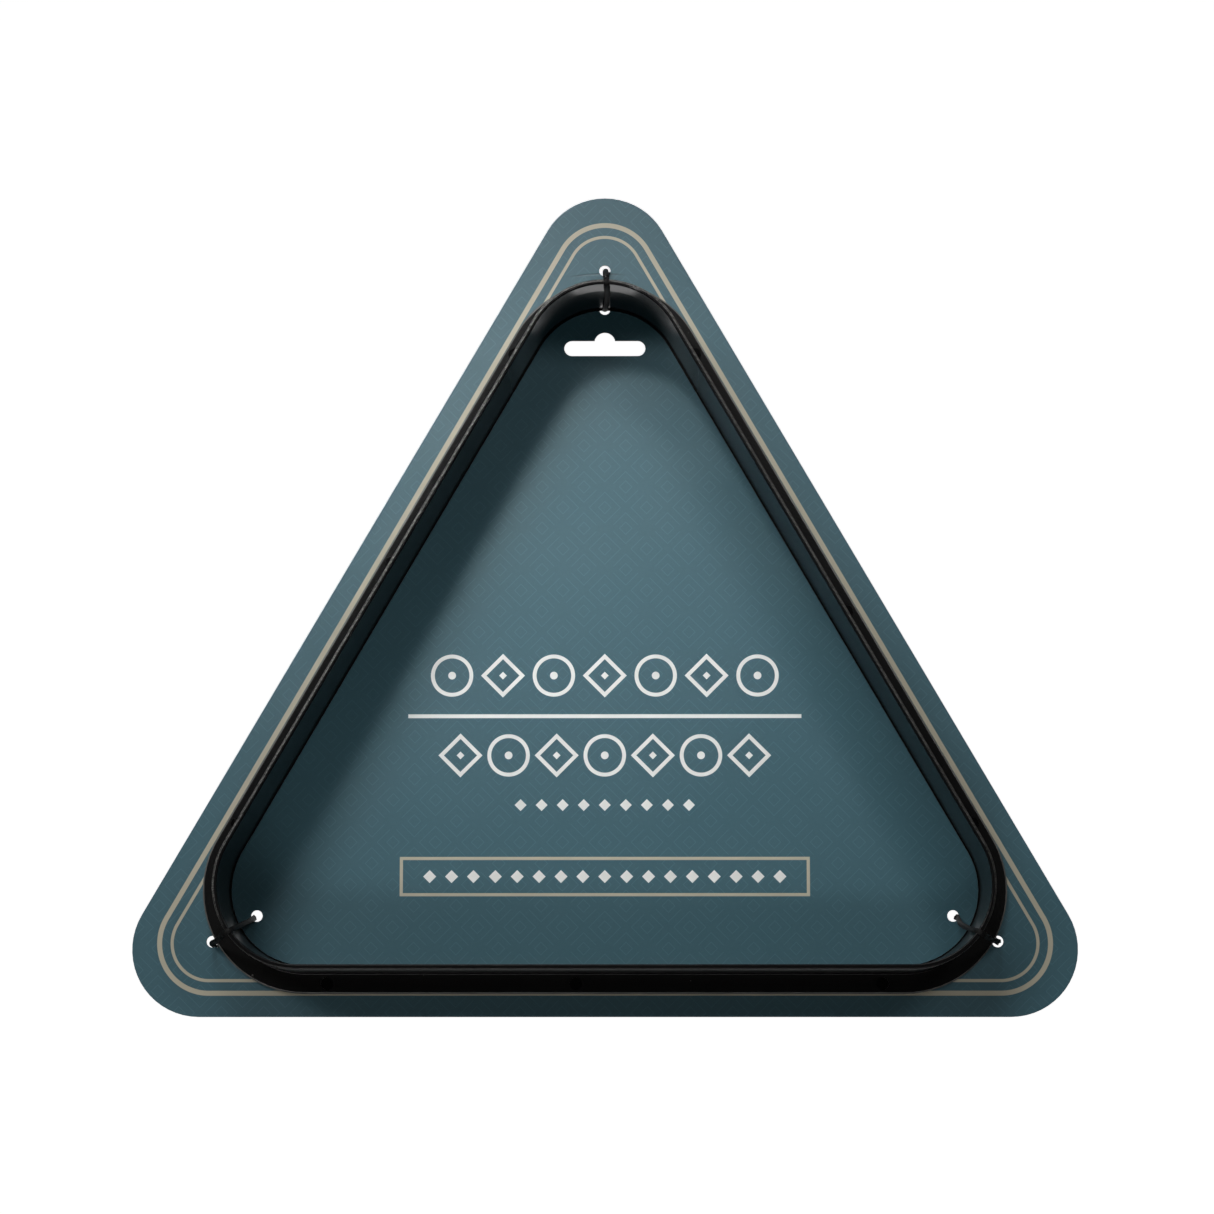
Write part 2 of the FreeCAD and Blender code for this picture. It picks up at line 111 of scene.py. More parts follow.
class Painter:
    """Short calls that build one material's node tree."""

    def __init__(self, name):
        self.material = bpy.data.materials.new(name)
        self.material.use_nodes = True
        self.tree = self.material.node_tree
        self.tree.nodes.clear()
        given = self.node("ShaderNodeTexCoord").outputs
        self.coordinates, self.normal = given["Object"], given["Normal"]

    def node(self, kind, **settings):
        made = self.tree.nodes.new(kind)
        for key, value in settings.items():
            setattr(made, key, value)
        return made

    def feed(self, socket, value):
        if isinstance(value, bpy.types.NodeSocket):
            self.tree.links.new(value, socket)
        else:
            socket.default_value = value

    def maths(self, operation, *values):
        made = self.node("ShaderNodeMath", operation=operation)
        for socket, value in zip(made.inputs, values):
            self.feed(socket, value)
        return made.outputs[0]

    def chain(self, operation, values):
        result = values[0]
        for value in values[1:]:
            result = self.maths(operation, result, value)
        return result

    def add(self, *values):
        return self.chain("ADD", values)

    def times(self, *values):
        return self.chain("MULTIPLY", values)

    def highest(self, *values):
        return self.chain("MAXIMUM", values)

    def minus(self, first, second):
        return self.maths("SUBTRACT", first, second)

    def size(self, value):
        return self.maths("ABSOLUTE", value)

    def length(self, x, z):
        return self.maths("SQRT", self.add(self.times(x, x), self.times(z, z)))

    def ramp(self, value, low, high, to_low=0.0, to_high=1.0):
        """value taken from low..high to to_low..to_high, smoothly, and held beyond them."""
        made = self.node("ShaderNodeMapRange", interpolation_type="SMOOTHSTEP")
        for socket, number in zip(made.inputs, (value, low, high, to_low, to_high)):
            self.feed(socket, number)
        return made.outputs[0]

    def inside(self, distance, edge, blur=0.06 * MM):
        """1 where distance is under edge, 0 beyond it."""
        return self.ramp(distance, edge - blur, edge + blur, 1.0, 0.0)

    def stroke(self, distance, line, width, blur=0.06 * MM):
        """1 on a line of that width along distance == line."""
        return self.inside(self.size(self.minus(distance, line)), width / 2, blur)

    def split(self, vector=None):
        made = self.node("ShaderNodeSeparateXYZ")
        self.feed(made.inputs[0], vector or self.coordinates)
        return made.outputs

    def stretch(self, scale):
        made = self.node("ShaderNodeMapping")
        self.feed(made.inputs["Vector"], self.coordinates)
        self.feed(made.inputs["Scale"], scale)
        return made.outputs[0]

    def noise(self, scale, detail=3.0, roughness=0.5, vector=None):
        made = self.node("ShaderNodeTexNoise")
        self.feed(made.inputs["Vector"], vector or self.coordinates)
        self.feed(made.inputs["Scale"], scale)
        self.feed(made.inputs["Detail"], detail)
        self.feed(made.inputs["Roughness"], roughness)
        return made.outputs[0]

    def specks(self, scale, radius, share):
        """Dots in that share of cells 1/scale wide, each up to radius times a cell's width."""
        made = self.node("ShaderNodeTexVoronoi")
        self.feed(made.inputs["Vector"], self.coordinates)
        self.feed(made.inputs["Scale"], scale)
        chance = self.split(made.outputs["Color"])
        edge = self.times(chance[1], radius)
        dot = self.ramp(self.minus(made.outputs["Distance"], edge), -0.03, 0.0, 1.0, 0.0)
        return self.times(dot, self.maths("LESS_THAN", chance[0], share))

    def mix(self, factor, first, second):
        made = self.node("ShaderNodeMix", data_type="RGBA")
        self.feed(made.inputs[0], factor)
        self.feed(made.inputs[6], first)
        self.feed(made.inputs[7], second)
        return made.outputs[2]

    def blend(self, factor, first, second):
        """What mix does to colours, for plain values."""
        return self.add(first, self.times(factor, self.minus(second, first)))

    def bump(self, height):
        """Relief of that height in metres."""
        made = self.node("ShaderNodeBump")
        self.feed(made.inputs["Height"], height)
        self.feed(made.inputs["Distance"], 1.0)
        return made.outputs[0]

    def finish(self, **sockets):
        """A Principled shader with these inputs, named with _ for a space."""
        shader = self.node("ShaderNodeBsdfPrincipled")
        for name, value in sockets.items():
            self.feed(shader.inputs[name.replace("_", " ")], value)
        output = self.node("ShaderNodeOutputMaterial")
        self.tree.links.new(shader.outputs[0], output.inputs["Surface"])
        return self.material


# ---------------------------------------------------------------- the printed card

INK = (0.047, 0.125, 0.159, 1)
INK_LIGHT = (0.058, 0.146, 0.182, 1)
LATTICE_INK = (0.075, 0.178, 0.217, 1)
CREAM = (0.55, 0.51, 0.39, 1)
OFF_WHITE = (0.93, 0.93, 0.90, 1)
# Painted shade along the fold beside the top tie hole.
CREASE_SHADE = (0.020, 0.060, 0.078, 1)
BOARD = (0.60, 0.55, 0.45, 1)
BOARD_DARK = shade(BOARD, 0.8)
BOARD_BACK = (0.55, 0.53, 0.49, 1)
BOARD_BACK_LIGHT = shade(BOARD_BACK, 1.12)
BOARD_FLECK = (0.33, 0.27, 0.2, 1)

# The border lines share their corner centres, this far from the card's middle. Each line is
# (how far its straight sides are from the middle, width).
BORDER_REACH = 175.0 * MM
BORDER_LINES = [(106.65 * MM, 1.9 * MM), (101.85 * MM, 1.2 * MM)]

# A faint lattice of nested squares on their corners fills the ink.
LATTICE_PITCH = 16.3 * MM
LATTICE_SIZES = (2.45 * MM, 6.1 * MM)
LATTICE_GAP = 1.25 * MM
LATTICE_LINE = 0.24 * MM

# Two rows of rings and diamonds stand over and under a rule, dots and a framed band below them.
RULE = {"rise": -0.2 * MM, "half": 76.0 * MM, "width": 1.5 * MM}
EMBLEM_ROWS = [
    {"rise": 15.6 * MM, "half": 69.0 * MM, "count": 7, "size": 8.2 * MM, "line": 1.5 * MM},
    {"rise": -15.4 * MM, "half": 65.0 * MM, "count": 7, "size": 8.2 * MM, "line": 1.5 * MM},
]
DOT_ROW = {"rise": -34.6 * MM, "half": 36.5 * MM, "count": 9, "size": 2.3 * MM}
BAND = {"rise": -62.1 * MM, "half_width": 78.2 * MM, "half_height": 6.95 * MM, "line": 1.2 * MM}
BAND_ROW = {"rise": -62.1 * MM, "half": 71.5 * MM, "count": 17, "size": 2.5 * MM}

# A fold line beside the top tie hole, darkened along it by painted shade, droops by bow times its
# distance from the middle, squared.
CREASE = {"rise": 174.6 * MM, "left": -15.6 * MM, "right": 8.8 * MM, "bow": 6.0,
          "left_fade": 6 * MM, "right_fade": 5 * MM, "half_width": 0.25 * MM,
          "depth": 0.03 * MM, "ink": 0.80}

# A noise is (scale in a metre, detail, roughness), and specks are (scale, radius, share of cells).
MOTTLE = (800.0, 4.0)
FIBRE = (2600.0, 5.0, 0.65)
GRAIN = (1500.0, 4.0, 0.6)
WAVE = (9.0, 2.0)
BACK_CLOUD = (300.0, 6.0, 0.7)
BACK_FLECKS = (900.0, 0.32, 0.10)
FLECK_INK = 0.35

GRAIN_DEPTH = 0.012 * MM
FIBRE_DEPTH = 0.03 * MM
WAVE_DEPTH = 1.2 * MM
INK_ROUGHNESS = (0.30, 0.35)
BOARD_ROUGHNESS = 0.75
COATING = {"Specular_IOR_Level": 0.75, "IOR": 1.55}


def outline_distance(paint, x, z, reach):
    """From the middle out to the straight side of the rounded triangle that a point lies on.

    Every triangle of the family has its corner arcs centred at reach from the middle.
    """
    across = paint.size(x)
    slanted = paint.add(paint.times(across, ROOT3 / 2), paint.times(z, 0.5))
    straight = paint.highest(slanted, paint.times(z, -1.0))

    up = paint.minus(z, reach)
    at_top = paint.maths("GREATER_THAN", up, paint.times(across, 1 / ROOT3))
    top_arc = paint.add(paint.length(across, up), reach / 2)

    out, down = paint.minus(across, reach * ROOT3 / 2), paint.minus(z, -reach / 2)
    at_side = paint.times(paint.maths("LESS_THAN", down, paint.times(out, 1 / ROOT3)),
                          paint.maths("GREATER_THAN", out, 0.0))
    side_arc = paint.add(paint.length(out, down), reach / 2)
    return paint.blend(at_side, paint.blend(at_top, straight, top_arc), side_arc)


def lattice(paint, x, z):
    """1 on the faint lattice's lines."""
    half = LATTICE_PITCH / 2
    fold_x = paint.maths("PINGPONG", x, half)
    fold_z = paint.maths("PINGPONG", z, half)
    near = paint.add(fold_x, fold_z)
    far = paint.minus(LATTICE_PITCH, near)
    width = LATTICE_LINE * math.sqrt(2)
    small, large = LATTICE_SIZES
    column = paint.maths("FLOOR", paint.add(paint.maths("DIVIDE", x, LATTICE_PITCH), 0.5))
    odd = paint.maths("PINGPONG", column, 1.0)
    open_ends = paint.times(odd, paint.inside(fold_x, LATTICE_GAP))
    open_sides = paint.inside(paint.minus(half, fold_z), LATTICE_GAP)
    return paint.highest(
        paint.stroke(near, small, width),
        paint.stroke(far, small, width),
        paint.times(paint.stroke(near, large, width), paint.minus(1.0, open_ends)),
        paint.times(paint.stroke(far, large, width), paint.minus(1.0, open_sides)))


def row_cells(paint, x, row):
    """Across each cell of a row from its middle, the cell's number, and 1 within the row."""
    pitch = 2 * row["half"] / row["count"]
    place = paint.maths("DIVIDE", paint.add(x, row["half"]), pitch)
    number = paint.maths("FLOOR", place)
    across = paint.times(paint.minus(paint.minus(place, number), 0.5), pitch)
    return across, number, paint.inside(paint.size(x), row["half"])


def emblems(paint, x, z, row, first):
    """A row of alternate rings and diamonds, starting with a diamond where first is 1."""
    across, number, within = row_cells(paint, x, row)
    rise = paint.minus(z, row["rise"])
    radius = row["size"] - row["line"] / 2
    ring = paint.stroke(paint.length(across, rise), radius, row["line"])
    core = paint.inside(paint.length(across, rise), row["line"])
    diagonal = paint.add(paint.size(across), paint.size(rise))
    diamond = paint.stroke(diagonal, radius, row["line"] * math.sqrt(2))
    centre = paint.inside(diagonal, row["line"])
    odd = paint.maths("PINGPONG", paint.add(number, first), 1.0)
    shape = paint.blend(odd, paint.highest(ring, core), paint.highest(diamond, centre))
    return paint.times(shape, within)


def dots(paint, x, z, row):
    """A row of small filled diamonds."""
    across, _, within = row_cells(paint, x, row)
    diagonal = paint.add(paint.size(across), paint.size(paint.minus(z, row["rise"])))
    return paint.times(paint.inside(diagonal, row["size"]), within)


def box_distance(paint, x, z, half_width, half_height):
    """How far a point is outside a level rectangle about the origin, negative inside."""
    return paint.highest(paint.minus(paint.size(x), half_width),
                         paint.minus(paint.size(z), half_height))


def crease(paint, x, z):
    """A fold line beside the top tie hole, where painted shade darkens the ink, 1 along its middle.
    """
    bow = paint.times(paint.times(x, x), CREASE["bow"])
    away = paint.size(paint.minus(paint.add(z, bow), CREASE["rise"]))
    left, right = CREASE["left"], CREASE["right"]
    along = paint.times(paint.ramp(x, left, left + CREASE["left_fade"]),
                        paint.ramp(x, right - CREASE["right_fade"], right, 1.0, 0.0))
    return paint.times(paint.inside(away, CREASE["half_width"], CREASE["half_width"]), along)


def cream_print(paint, x, z):
    """1 on the two border lines and on the band's frame."""
    distance = outline_distance(paint, x, z, BORDER_REACH)
    lines = [paint.stroke(distance, *line) for line in BORDER_LINES]
    band = box_distance(paint, x, paint.minus(z, BAND["rise"]), BAND["half_width"],
                        BAND["half_height"])
    return paint.highest(*lines, paint.stroke(band, 0.0, BAND["line"]))


def white_print(paint, x, z):
    """1 on the rule and on the rows of ornament."""
    rule = box_distance(paint, x, paint.minus(z, RULE["rise"]), RULE["half"],
                        RULE["width"] / 2)
    rows = [emblems(paint, x, z, row, first) for first, row in enumerate(EMBLEM_ROWS)]
    return paint.highest(paint.inside(rule, 0.0), *rows, dots(paint, x, z, DOT_ROW),
                         dots(paint, x, z, BAND_ROW))


def board_back(paint):
    """Colour of the plain grey-brown back."""
    back = paint.mix(paint.noise(*BACK_CLOUD), BOARD_BACK, BOARD_BACK_LIGHT)
    return paint.mix(paint.times(paint.specks(*BACK_FLECKS), FLECK_INK), back, BOARD_FLECK)


def card_material():
    """Teal printed board, its rows of ornament, painted shade along a fold, raw board at the cut
    edges and a plain back.
    """
    paint = Painter("printed_card")
    x, y, up = paint.split()
    z = paint.minus(up, CARD_MIDDLE)
    on_front = paint.inside(y, CARD_FRONT + 0.05 * MM, 0.01 * MM)
    on_back = paint.ramp(y, -0.03 * MM, -0.01 * MM)
    mottle = paint.noise(*MOTTLE)
    fibre = paint.noise(*FIBRE, paint.stretch((1.0, 3.0, 1.0)))
    fold = crease(paint, x, z)

    front = paint.mix(mottle, INK, INK_LIGHT)
    front = paint.mix(lattice(paint, x, z), front, LATTICE_INK)
    front = paint.mix(cream_print(paint, x, z), front, CREAM)
    front = paint.mix(white_print(paint, x, z), front, OFF_WHITE)
    colour = paint.mix(on_front, paint.mix(fibre, BOARD_DARK, BOARD), front)
    colour = paint.mix(on_back, colour, board_back(paint))
    # Painted shade along the fold.
    colour = paint.mix(paint.times(fold, on_front, CREASE["ink"]), colour, CREASE_SHADE)

    relief = paint.add(paint.times(paint.noise(*GRAIN), GRAIN_DEPTH),
                       paint.times(fold, -CREASE["depth"]),
                       paint.times(paint.minus(1.0, on_front), fibre, FIBRE_DEPTH),
                       paint.times(paint.noise(*WAVE), WAVE_DEPTH))
    rough = paint.blend(on_front, BOARD_ROUGHNESS, paint.blend(mottle, *INK_ROUGHNESS))
    return paint.finish(Base_Color=colour, Roughness=rough, Normal=paint.bump(relief), **COATING)


# ---------------------------------------------------------------- the moulded rack

RACK_BLACK = (0.0028, 0.0028, 0.0030, 1)
MARK_BLACK = (0.0008, 0.0008, 0.0008, 1)
RACK_GREY = (0.006, 0.0057, 0.0055, 1)
# Pale scuffs on the rubbed rim: real wear, and a painted highlight too.
RIM_SCUFFS_AND_HIGHLIGHT = (0.30, 0.295, 0.28, 1)
# Painted highlight on the flange's outer edge, broken into patches.
FLANGE_EDGE_HIGHLIGHT = (0.17, 0.168, 0.16, 1)
# Painted highlight along the rim's outer edge.
RIM_EDGE_HIGHLIGHT = (0.040, 0.040, 0.039, 1)
DUST = (0.16, 0.155, 0.145, 1)

# Along the two slanted sides the rim's outer part is rubbed down and leans outwards.
RUBBED = {"width": 0.85 * MM, "slope": 0.34, "roughness": 0.12, "depth": 0.03 * MM}
RUBBED_FROM = BALL_APOTHEM + RIM_THICKNESS - RUBBED["width"]
RIM_HIGHLIGHT_FROM = RUBBED_FROM + 0.5 * MM
FLANGE_EDGE_FROM = RUBBED_FROM + 5 * MM

# Inside the apex the top of the wall leans back, so it mirrors the hang slot.
APEX_RISE = (BALL_REACH - 36 * MM, BALL_REACH - 24 * MM)
APEX_LEAN = {"from": RIM_HEIGHT - 12 * MM, "slope": 0.052, "half_width": 12 * MM}

# Each is a range over which something comes in, then its values at the two ends if they aren't
# 0 and 1. Faces are measured by how squarely they face the front, from 0 to 1.
FACES_FRONT = (0.97, 0.995)
FLANGE_EDGE_FACES = [(0.30, 0.45), (0.96, 0.995, 1.0, 0.0)]
RIM_HIGHLIGHT_FACES = (0.15, 0.40)
RIM_TOP = (RIM_HEIGHT - 0.7 * MM, RIM_HEIGHT - 0.3 * MM)
SLANTED_SIDES = (-8 * MM, 30 * MM)
SCUFF_RANGE = (0.44, 0.60)
PATCH_RANGE = (0.35, 0.65, 0.72, 1.0)
# The rim's painted highlight fades towards the right and towards the bottom, as the light falls.
PAINTED_LIGHT_ACROSS = (-60 * MM, 60 * MM, 1.0, 0.40)
PAINTED_LIGHT_UP = (-60 * MM, 40 * MM, 0.60, 1.0)

CLOUD = (60.0, 4.0, 0.6)
TEXTURE = (3200.0, 3.0, 0.6)
SCUFFS = (2600.0, 3.0, 0.75)
PATCHES = (45.0, 3.0, 0.6)
DUST_SPECKS = [(230.0, 0.10, 0.14), (520.0, 0.12, 0.08)]
DUST_INK = 0.45

WALL_ROUGHNESS, APEX_ROUGHNESS = 0.29, 0.19
FLAT_ROUGHNESS = (0.22, 0.26)
MARK_ROUGHNESS = 0.60
WALL_GLOSS, FLAT_GLOSS, MARK_GLOSS = 0.28, 0.42, 0.05
DUST_DEPTH = 0.02 * MM
TEXTURE_DEPTH = 0.006 * MM


def rack_zones(paint):
    """Where a point is on the rack, and from 0 to 1 how far it is on each of its surfaces."""
    x, y, up = paint.split()
    height, rise = paint.minus(CARD_FRONT, y), paint.minus(up, RACK_MIDDLE)
    facing = paint.times(paint.split(paint.normal)[1], -1.0)
    flat = paint.ramp(facing, *FACES_FRONT)
    slanted = paint.add(paint.times(paint.size(x), ROOT3 / 2), paint.times(rise, 1.5))
    return SimpleNamespace(
        x=x, height=height, rise=rise, facing=facing, flat=flat,
        away=outline_distance(paint, x, rise, BALL_CORNER_REACH),
        slanted=paint.ramp(slanted, *SLANTED_SIDES),
        apex=paint.ramp(rise, *APEX_RISE),
        rim=paint.ramp(height, *RIM_TOP),
        flange=paint.inside(height, FLANGE_THICKNESS + 0.5 * MM, 0.5 * MM),
        mark=paint.times(flat, paint.stroke(height, MARK_FLOOR, 0.12 * MM)))


def rack_wear_and_highlights(paint, at):
    """From 0 to 1: the rubbed part of the rim, its pale scuffs, which are also a painted highlight
    that is stronger towards the upper left where the light falls, a painted highlight line along
    the rim's outer edge and a painted highlight on the flange's edge.
    """
    rubbed = paint.times(at.rim, paint.ramp(at.away, RUBBED_FROM, RUBBED_FROM + 0.08 * MM),
                         at.slanted)
    scuffs = paint.ramp(paint.noise(*SCUFFS), *SCUFF_RANGE)
    patches = paint.ramp(paint.noise(*PATCHES), *PATCH_RANGE)
    # Painted light: the scuffs are paler towards the upper left, where the light falls.
    painted_light_falloff = paint.times(paint.ramp(at.x, *PAINTED_LIGHT_ACROSS), paint.ramp(at.rise, *PAINTED_LIGHT_UP))
    # A painted highlight line along the rim's outer edge.
    rim_highlight = paint.times(at.rim, paint.ramp(at.away, RIM_HIGHLIGHT_FROM, RIM_HIGHLIGHT_FROM + 0.1 * MM),
                           paint.ramp(at.facing, *RIM_HIGHLIGHT_FACES))
    # A painted highlight on the flange's outer edge, broken into patches.
    flange_highlight = paint.times(
        at.flange, *(paint.ramp(at.facing, *faces) for faces in FLANGE_EDGE_FACES),
        paint.ramp(at.away, FLANGE_EDGE_FROM, FLANGE_EDGE_FROM + 1 * MM), patches)
    return SimpleNamespace(rubbed=rubbed, rim_highlight=rim_highlight, flange_highlight=flange_highlight,
                           scuffs_and_highlight=paint.times(rubbed, scuffs, patches, painted_light_falloff))


def rack_relief(paint, at, wear_and_highlights, dust):
    """Height of the fine texture, the two leans, the scuffs and the dust."""
    lean = paint.times(wear_and_highlights.rubbed, paint.minus(at.away, RUBBED_FROM), -RUBBED["slope"])
    near_middle = paint.inside(paint.size(at.x), APEX_LEAN["half_width"], 3 * MM)
    apex_lean = paint.times(paint.highest(paint.minus(at.height, APEX_LEAN["from"]), 0.0),
                            near_middle, at.apex, -APEX_LEAN["slope"])
    texture = paint.times(paint.noise(*TEXTURE), at.flat, TEXTURE_DEPTH)
    return paint.add(texture, lean, apex_lean, paint.times(wear_and_highlights.scuffs_and_highlight, RUBBED["depth"]),
                     paint.times(dust, DUST_DEPTH))


def rack_material():
    """Black moulded plastic: plain walls, glossier textured flats, a rubbed rim and dust, with
    painted highlights on the rim and on the flange's edge.
    """
    paint = Painter("rack_plastic")
    at = rack_zones(paint)
    wear_and_highlights = rack_wear_and_highlights(paint, at)
    cloud = paint.noise(*CLOUD)
    dust = paint.highest(*(paint.specks(*specks) for specks in DUST_SPECKS))

    grey = paint.times(at.flange, cloud, paint.minus(1.0, at.mark))
    colour = paint.mix(grey, RACK_BLACK, RACK_GREY)
    colour = paint.mix(at.mark, colour, MARK_BLACK)
    # Painted highlight on the rim's outer edge.
    colour = paint.mix(wear_and_highlights.rim_highlight, colour, RIM_EDGE_HIGHLIGHT)
    # Pale scuffs, which are also the rim's painted highlight.
    colour = paint.mix(wear_and_highlights.scuffs_and_highlight, colour, RIM_SCUFFS_AND_HIGHLIGHT)
    # Painted highlight on the flange's outer edge.
    colour = paint.mix(wear_and_highlights.flange_highlight, colour, FLANGE_EDGE_HIGHLIGHT)
    colour = paint.mix(paint.times(dust, DUST_INK), colour, DUST)

    rough = paint.blend(at.flat, paint.blend(at.apex, WALL_ROUGHNESS, APEX_ROUGHNESS),
                        paint.blend(cloud, *FLAT_ROUGHNESS))
    rough = paint.add(paint.blend(at.mark, rough, MARK_ROUGHNESS),
                      paint.times(wear_and_highlights.rubbed, RUBBED["roughness"]))
    gloss = paint.blend(at.mark, paint.blend(at.flat, WALL_GLOSS, FLAT_GLOSS), MARK_GLOSS)
    relief = rack_relief(paint, at, wear_and_highlights, dust)
    return paint.finish(Base_Color=colour, Roughness=rough, Normal=paint.bump(relief),
                        Specular_IOR_Level=gloss)


# ---------------------------------------------------------------- the twist ties

TIE_BLACK = (0.010, 0.010, 0.010, 1)
TIE_GREY = (0.032, 0.031, 0.030, 1)
WIRE_STEEL = (0.45, 0.45, 0.46, 1)
WIRE_DARK = shade(WIRE_STEEL, 0.6)
CREASES = (1300.0, 4.0, 0.65)
CREASE_DEPTH = 0.14 * MM
STEEL_PATCHES = (900.0, 3.0)


def tie_material():
    """Black plastic film over a wire: dull, creased and paler where it has been bent."""
    paint = Painter("tie_plastic")
    creases = paint.noise(*CREASES)
    pale = paint.ramp(creases, 0.5, 0.72)
    return paint.finish(Base_Color=paint.mix(pale, TIE_BLACK, TIE_GREY),
                        Roughness=paint.blend(pale, 0.52, 0.70),
                        Normal=paint.bump(paint.times(creases, CREASE_DEPTH)),
                        Specular_IOR_Level=0.10)


def wire_material():
    """Dull drawn steel, darker in patches."""
    paint = Painter("tie_wire")
    patches = paint.noise(*STEEL_PATCHES)
    return paint.finish(Base_Color=paint.mix(patches, WIRE_DARK, WIRE_STEEL), Metallic=1.0,
                        Roughness=paint.blend(patches, 0.3, 0.5),
                        Normal=paint.bump(paint.times(patches, 0.03 * MM)))


# Each corner's direction from the middle, and how far out along it the card's tie holes are.
CORNER_ANGLES = {"top": 90.0, "left": 210.0, "right": 330.0}
INNER_HOLE = {"top": 160.5 * MM, "left": 154.2 * MM, "right": 154.2 * MM}
OUTER_HOLE = {"top": 176.0 * MM, "left": 173.8 * MM, "right": 173.8 * MM}

STRIP_WIDTH = 2.1 * MM
STRIP_WING = 0.30 * MM
STRIP_CORE = 0.70 * MM
BEAD_WIDTH = 0.42 * MM
STRIP_POINTS = 24
WIRE_RADIUS = 0.225 * MM
WIRE_POINTS = 12
WIRE_STANDS_OUT = 0.8  # of ROUTE_STEP, at each cut end

PAIR_OFFSET = 0.48 * MM
PAIR_STEP = 0.5 * MM
ROUTE_STEP = 0.35 * MM
SPAN_SAMPLES = 24
BEHIND_CARD = -CARD_THICKNESS - 0.53 * MM
OVER_RIM = RIM_HEIGHT + 0.52 * MM
FLAT_TURN = math.pi

# The strip's width ripples along it: (share of the width, radians from end to end, phase).
RIPPLES = [(0.05, 61, 0.0), (0.04, 143, 1.3)]

# Each tie comes up through the inner hole, runs slack to the rim and crosses it, sideways from the
# corner's own plane through the middle. There it meets its other end, and the two are wound
# together, in that many turns, down to the winding's end beside the outer hole. The other end
# stops at that share of the way up, and the tail is the last step beside the hole. A point is
# (outwards from the middle, sideways, off the card) in millimetres, and the points into the hole
# are measured from the inner hole and the card's back.
TIE_RUNS = {
    "top": {
        "into_hole": [(1.6, 0.0, -0.53), (-0.5, 0.0, -0.2)],
        "slack": [(159.8, -0.1, 1.5), (159.5, -0.6, 12), (159.2, -1.1, 26), (159.3, -1.0, 38)],
        "sideways": -0.8, "turns": 2.0, "end": (174.3, -0.3), "stop": 0.96, "tail": (1.0, -1.4)},
    "left": {
        "into_hole": [(2.6, 0.1, -0.53), (0.9, 0.0, -0.15)],
        "slack": [(155.4, 0.5, 1.5), (156.9, 1.5, 13), (158.6, 2.7, 29), (160.2, 3.4, 40)],
        "sideways": 3.6, "turns": 2.5, "end": (173.8, 1.3), "stop": 0.98, "tail": (-0.4, 1.6)},
    "right": {
        "into_hole": [(2.6, 0.1, -0.53), (0.9, 0.0, -0.15)],
        "slack": [(155.9, 0.2, 1.5), (157.2, -1.7, 8), (158.5, -3.0, 19), (159.9, -3.9, 33),
                  (160.9, -4.3, 41)],
        "sideways": -4.1, "turns": 1.5, "end": (173.6, -0.4), "stop": 0.95, "tail": (1.0, -0.3)},
}


def smooth_line(points, spacing):
    """Evenly spaced samples of the Catmull-Rom curve through the points.

    The first three columns are the place, and any more are carried along with it.
    """
    points = np.array(points, float)
    padded = np.vstack([2 * points[0] - points[1], points, 2 * points[-1] - points[-2]])
    samples = []
    for before, start, end, after in zip(padded, padded[1:], padded[2:], padded[3:]):
        for step in np.linspace(0, 1, SPAN_SAMPLES, endpoint=False):
            samples.append(0.5 * (2 * start + (end - before) * step
                                  + (2 * before - 5 * start + 4 * end - after) * step ** 2
                                  + (3 * start - before - 3 * end + after) * step ** 3))
    samples = np.array(samples + [points[-1]])
    steps = np.linalg.norm(np.diff(samples[:, :3], axis=0), axis=1)
    along = np.concatenate([[0], np.cumsum(steps)])
    count = max(int(along[-1] / spacing), 2)
    even = np.linspace(0, along[-1], count)
    return np.column_stack([np.interp(even, along, column) for column in samples.T])


def tangents(line):
    """The direction of a line at each of its points."""
    steps = np.gradient(line, axis=0)
    return steps / np.linalg.norm(steps, axis=1)[:, None]


def cross_axes(direction):
    """The sideways and outward unit vectors across each direction of a line."""
    sideways = np.array([0, 1.0, 0]) - direction * direction[:, 1:2]
    sideways /= np.linalg.norm(sideways, axis=1)[:, None]
    return sideways, np.cross(direction, sideways)


def millimetres(values):
    """Values given in millimetres, in metres."""
    return tuple(value * MM for value in values)


def rim_crossing(corner, side):
    """How far out towards a corner the wall's inner and outer faces are, that far sideways."""
    drop = -RACK_DROP if corner == "top" else RACK_DROP / 2
    bow = BALL_CORNER - math.sqrt(BALL_CORNER ** 2 - side ** 2)
    inner_face = BALL_REACH + drop - bow
    return inner_face, inner_face + RIM_THICKNESS


def winding_axis(run, rim_out):
    """The line that the two ends are wound round, from the rim down to the outer hole."""
    end_out, end_side = millimetres(run["end"])
    side = run["sideways"] * MM
    return smooth_line([
        (rim_out + 1.25 * MM, side * 0.92, RIM_HEIGHT - 2.6 * MM),
        (rim_out + (end_out - rim_out) * 0.66, side * 0.45 + end_side * 0.5, RIM_HEIGHT * 0.42),
        (end_out - 0.35 * MM, end_side, 7 * MM),
        (end_out, end_side, 0.9 * MM)], PAIR_STEP)


def wound_strand(run, axis, phase):
    """One strand of the winding as (point, turn) rows, top end first."""
    sideways, outward = cross_axes(tangents(axis))
    up = np.linspace(1, 0, len(axis))
    turn = phase + 2 * math.pi * run["turns"] * up
    loose = PAIR_OFFSET * (1 + 0.25 * np.sin(9 * up + phase))
    offset = sideways * np.cos(turn)[:, None] + outward * np.sin(turn)[:, None]
    return np.column_stack([axis + offset * loose[:, None], turn + math.pi / 2])


def turned_flat(strand, row):
    """A strand turned by whole half turns, so that it is nearest to lying flat at that row."""
    strand = strand.copy()
    strand[:, 3] += FLAT_TURN - round(strand[row, 3] / math.pi) * math.pi
    return strand


